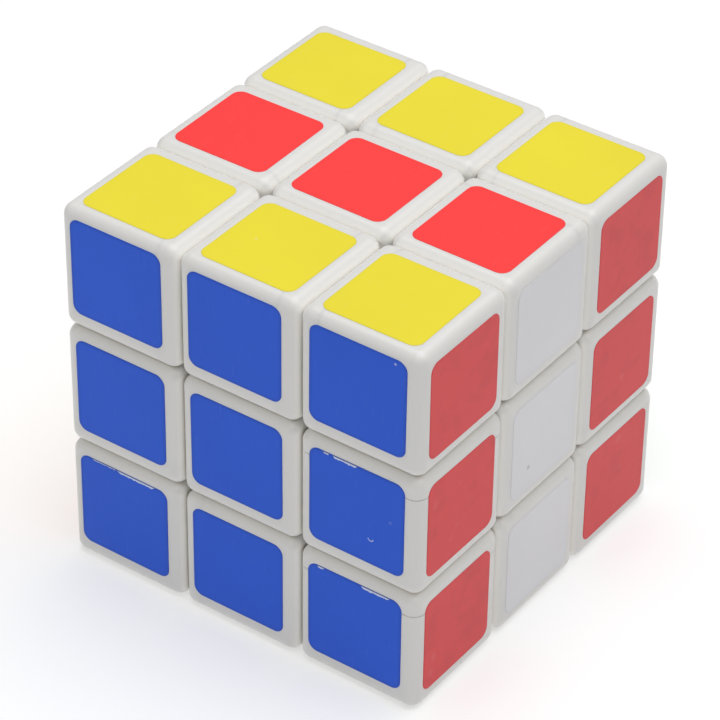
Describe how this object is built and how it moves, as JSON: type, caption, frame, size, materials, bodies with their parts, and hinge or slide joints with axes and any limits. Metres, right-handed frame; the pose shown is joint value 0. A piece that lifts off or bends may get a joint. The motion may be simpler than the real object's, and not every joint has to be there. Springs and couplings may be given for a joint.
{
  "type": "twisty puzzle cube",
  "caption": "Layered twisty puzzle cube in white plastic with coloured stickers, whose faces turn about a sprung core.",
  "frame": {"origin": "middle of the cube, where the six turning axes cross", "axes": "+Z out of the top face, -Y out of the front face, +X out of the right face"},
  "size_m": [0.057, 0.057, 0.057],
  "materials": {
    "white_plastic": "glossy moulded white plastic",
    "inner_plastic": "plain moulded plastic, unpolished",
    "steel": "bright zinc-plated steel",
    "spring_steel": "drawn spring wire",
    "sticker_blue": "printed vinyl sticker with a clear coat",
    "sticker_yellow": "printed vinyl sticker with a clear coat",
    "sticker_red": "printed vinyl sticker with a clear coat",
    "sticker_orange": "printed vinyl sticker with a clear coat",
    "sticker_green": "printed vinyl sticker with a clear coat",
    "sticker_white": "printed vinyl sticker with a clear coat"
  },
  "bodies": {
    "core": {"core": "inner_plastic", "tension_screws": "steel", "washers": "steel", "springs": "spring_steel"},
    "centre_top": {"centre_top_base": "white_plastic", "centre_top_cap": "white_plastic"},
    "centre_bottom": {"centre_bottom_base": "white_plastic", "centre_bottom_cap": "white_plastic"},
    "centre_front": {"centre_front_base": "white_plastic", "centre_front_cap": "white_plastic"},
    "centre_back": {"centre_back_base": "white_plastic", "centre_back_cap": "white_plastic"},
    "centre_left": {"centre_left_base": "white_plastic", "centre_left_cap": "white_plastic"},
    "centre_right": {"centre_right_base": "white_plastic", "centre_right_cap": "white_plastic"},
    "edge_front_left": {"edge_front_left_shell": "white_plastic", "edge_front_left_foot": "inner_plastic"},
    "edge_bottom_left": {"edge_bottom_left_shell": "white_plastic", "edge_bottom_left_foot": "inner_plastic"},
    "edge_top_left": {"edge_top_left_shell": "white_plastic", "edge_top_left_foot": "inner_plastic"},
    "edge_back_left": {"edge_back_left_shell": "white_plastic", "edge_back_left_foot": "inner_plastic"},
    "edge_bottom_front": {"edge_bottom_front_shell": "white_plastic", "edge_bottom_front_foot": "inner_plastic"},
    "edge_top_front": {"edge_top_front_shell": "white_plastic", "edge_top_front_foot": "inner_plastic"},
    "edge_bottom_back": {"edge_bottom_back_shell": "white_plastic", "edge_bottom_back_foot": "inner_plastic"},
    "edge_top_back": {"edge_top_back_shell": "white_plastic", "edge_top_back_foot": "inner_plastic"},
    "edge_front_right": {"edge_front_right_shell": "white_plastic", "edge_front_right_foot": "inner_plastic"},
    "edge_bottom_right": {"edge_bottom_right_shell": "white_plastic", "edge_bottom_right_foot": "inner_plastic"},
    "edge_top_right": {"edge_top_right_shell": "white_plastic", "edge_top_right_foot": "inner_plastic"},
    "edge_back_right": {"edge_back_right_shell": "white_plastic", "edge_back_right_foot": "inner_plastic"},
    "corner_bottom_front_left": {"corner_bottom_front_left_shell": "white_plastic", "corner_bottom_front_left_foot": "inner_plastic"},
    "corner_top_front_left": {"corner_top_front_left_shell": "white_plastic", "corner_top_front_left_foot": "inner_plastic"},
    "corner_bottom_back_left": {"corner_bottom_back_left_shell": "white_plastic", "corner_bottom_back_left_foot": "inner_plastic"},
    "corner_top_back_left": {"corner_top_back_left_shell": "white_plastic", "corner_top_back_left_foot": "inner_plastic"},
    "corner_bottom_front_right": {"corner_bottom_front_right_shell": "white_plastic", "corner_bottom_front_right_foot": "inner_plastic"},
    "corner_top_front_right": {"corner_top_front_right_shell": "white_plastic", "corner_top_front_right_foot": "inner_plastic"},
    "corner_bottom_back_right": {"corner_bottom_back_right_shell": "white_plastic", "corner_bottom_back_right_foot": "inner_plastic"},
    "corner_top_back_right": {"corner_top_back_right_shell": "white_plastic", "corner_top_back_right_foot": "inner_plastic"}
  },
  "joints": [
    {"name": "top_turn", "type": "hinge", "parent": "core", "child": "centre_top", "pos_m": [0, 0, 0], "axis": [0, 0, 1], "continuous": true},
    {"name": "bottom_turn", "type": "hinge", "parent": "core", "child": "centre_bottom", "pos_m": [0, 0, 0], "axis": [0, 0, -1], "continuous": true},
    {"name": "front_turn", "type": "hinge", "parent": "core", "child": "centre_front", "pos_m": [0, 0, 0], "axis": [0, -1, 0], "continuous": true},
    {"name": "back_turn", "type": "hinge", "parent": "core", "child": "centre_back", "pos_m": [0, 0, 0], "axis": [0, 1, 0], "continuous": true},
    {"name": "left_turn", "type": "hinge", "parent": "core", "child": "centre_left", "pos_m": [0, 0, 0], "axis": [-1, 0, 0], "continuous": true},
    {"name": "right_turn", "type": "hinge", "parent": "core", "child": "centre_right", "pos_m": [0, 0, 0], "axis": [1, 0, 0], "continuous": true},
    {"name": "edge_front_left_in_left_turn", "type": "hinge", "parent": "centre_front", "child": "edge_front_left", "pos_m": [0, 0, 0], "axis": [-1, 0, 0], "continuous": true},
    {"name": "edge_bottom_left_in_left_turn", "type": "hinge", "parent": "centre_bottom", "child": "edge_bottom_left", "pos_m": [0, 0, 0], "axis": [-1, 0, 0], "continuous": true},
    {"name": "edge_top_left_in_left_turn", "type": "hinge", "parent": "centre_top", "child": "edge_top_left", "pos_m": [0, 0, 0], "axis": [-1, 0, 0], "continuous": true},
    {"name": "edge_back_left_in_left_turn", "type": "hinge", "parent": "centre_back", "child": "edge_back_left", "pos_m": [0, 0, 0], "axis": [-1, 0, 0], "continuous": true},
    {"name": "edge_bottom_front_in_bottom_turn", "type": "hinge", "parent": "centre_front", "child": "edge_bottom_front", "pos_m": [0, 0, 0], "axis": [0, 0, -1], "continuous": true},
    {"name": "edge_top_front_in_front_turn", "type": "hinge", "parent": "centre_top", "child": "edge_top_front", "pos_m": [0, 0, 0], "axis": [0, -1, 0], "continuous": true},
    {"name": "edge_bottom_back_in_back_turn", "type": "hinge", "parent": "centre_bottom", "child": "edge_bottom_back", "pos_m": [0, 0, 0], "axis": [0, 1, 0], "continuous": true},
    {"name": "edge_top_back_in_top_turn", "type": "hinge", "parent": "centre_back", "child": "edge_top_back", "pos_m": [0, 0, 0], "axis": [0, 0, 1], "continuous": true},
    {"name": "edge_front_right_in_front_turn", "type": "hinge", "parent": "centre_right", "child": "edge_front_right", "pos_m": [0, 0, 0], "axis": [0, -1, 0], "continuous": true},
    {"name": "edge_bottom_right_in_bottom_turn", "type": "hinge", "parent": "centre_right", "child": "edge_bottom_right", "pos_m": [0, 0, 0], "axis": [0, 0, -1], "continuous": true},
    {"name": "edge_top_right_in_top_turn", "type": "hinge", "parent": "centre_right", "child": "edge_top_right", "pos_m": [0, 0, 0], "axis": [0, 0, 1], "continuous": true},
    {"name": "edge_back_right_in_back_turn", "type": "hinge", "parent": "centre_right", "child": "edge_back_right", "pos_m": [0, 0, 0], "axis": [0, 1, 0], "continuous": true},
    {"name": "corner_bottom_front_left_in_left_turn", "type": "hinge", "parent": "edge_bottom_front", "child": "corner_bottom_front_left", "pos_m": [0, 0, 0], "axis": [-1, 0, 0], "continuous": true},
    {"name": "corner_top_front_left_in_left_turn", "type": "hinge", "parent": "edge_top_front", "child": "corner_top_front_left", "pos_m": [0, 0, 0], "axis": [-1, 0, 0], "continuous": true},
    {"name": "corner_bottom_back_left_in_left_turn", "type": "hinge", "parent": "edge_bottom_back", "child": "corner_bottom_back_left", "pos_m": [0, 0, 0], "axis": [-1, 0, 0], "continuous": true},
    {"name": "corner_top_back_left_in_left_turn", "type": "hinge", "parent": "edge_top_back", "child": "corner_top_back_left", "pos_m": [0, 0, 0], "axis": [-1, 0, 0], "continuous": true},
    {"name": "corner_bottom_front_right_in_right_turn", "type": "hinge", "parent": "edge_bottom_front", "child": "corner_bottom_front_right", "pos_m": [0, 0, 0], "axis": [1, 0, 0], "continuous": true},
    {"name": "corner_top_front_right_in_right_turn", "type": "hinge", "parent": "edge_top_front", "child": "corner_top_front_right", "pos_m": [0, 0, 0], "axis": [1, 0, 0], "continuous": true},
    {"name": "corner_bottom_back_right_in_right_turn", "type": "hinge", "parent": "edge_bottom_back", "child": "corner_bottom_back_right", "pos_m": [0, 0, 0], "axis": [1, 0, 0], "continuous": true},
    {"name": "corner_top_back_right_in_right_turn", "type": "hinge", "parent": "edge_top_back", "child": "corner_top_back_right", "pos_m": [0, 0, 0], "axis": [1, 0, 0], "continuous": true}
  ],
  "couplings": [
    {"joint": "edge_front_left_in_left_turn", "follows": "left_turn", "ratio": 1},
    {"joint": "edge_bottom_left_in_left_turn", "follows": "left_turn", "ratio": 1},
    {"joint": "edge_top_left_in_left_turn", "follows": "left_turn", "ratio": 1},
    {"joint": "edge_back_left_in_left_turn", "follows": "left_turn", "ratio": 1},
    {"joint": "edge_bottom_front_in_bottom_turn", "follows": "bottom_turn", "ratio": 1},
    {"joint": "edge_top_front_in_front_turn", "follows": "front_turn", "ratio": 1},
    {"joint": "edge_bottom_back_in_back_turn", "follows": "back_turn", "ratio": 1},
    {"joint": "edge_top_back_in_top_turn", "follows": "top_turn", "ratio": 1},
    {"joint": "edge_front_right_in_front_turn", "follows": "front_turn", "ratio": 1},
    {"joint": "edge_bottom_right_in_bottom_turn", "follows": "bottom_turn", "ratio": 1},
    {"joint": "edge_top_right_in_top_turn", "follows": "top_turn", "ratio": 1},
    {"joint": "edge_back_right_in_back_turn", "follows": "back_turn", "ratio": 1},
    {"joint": "corner_bottom_front_left_in_left_turn", "follows": "left_turn", "ratio": 1},
    {"joint": "corner_top_front_left_in_left_turn", "follows": "left_turn", "ratio": 1},
    {"joint": "corner_bottom_back_left_in_left_turn", "follows": "left_turn", "ratio": 1},
    {"joint": "corner_top_back_left_in_left_turn", "follows": "left_turn", "ratio": 1},
    {"joint": "corner_bottom_front_right_in_right_turn", "follows": "right_turn", "ratio": 1},
    {"joint": "corner_top_front_right_in_right_turn", "follows": "right_turn", "ratio": 1},
    {"joint": "corner_bottom_back_right_in_right_turn", "follows": "right_turn", "ratio": 1},
    {"joint": "corner_top_back_right_in_right_turn", "follows": "right_turn", "ratio": 1}
  ]
}
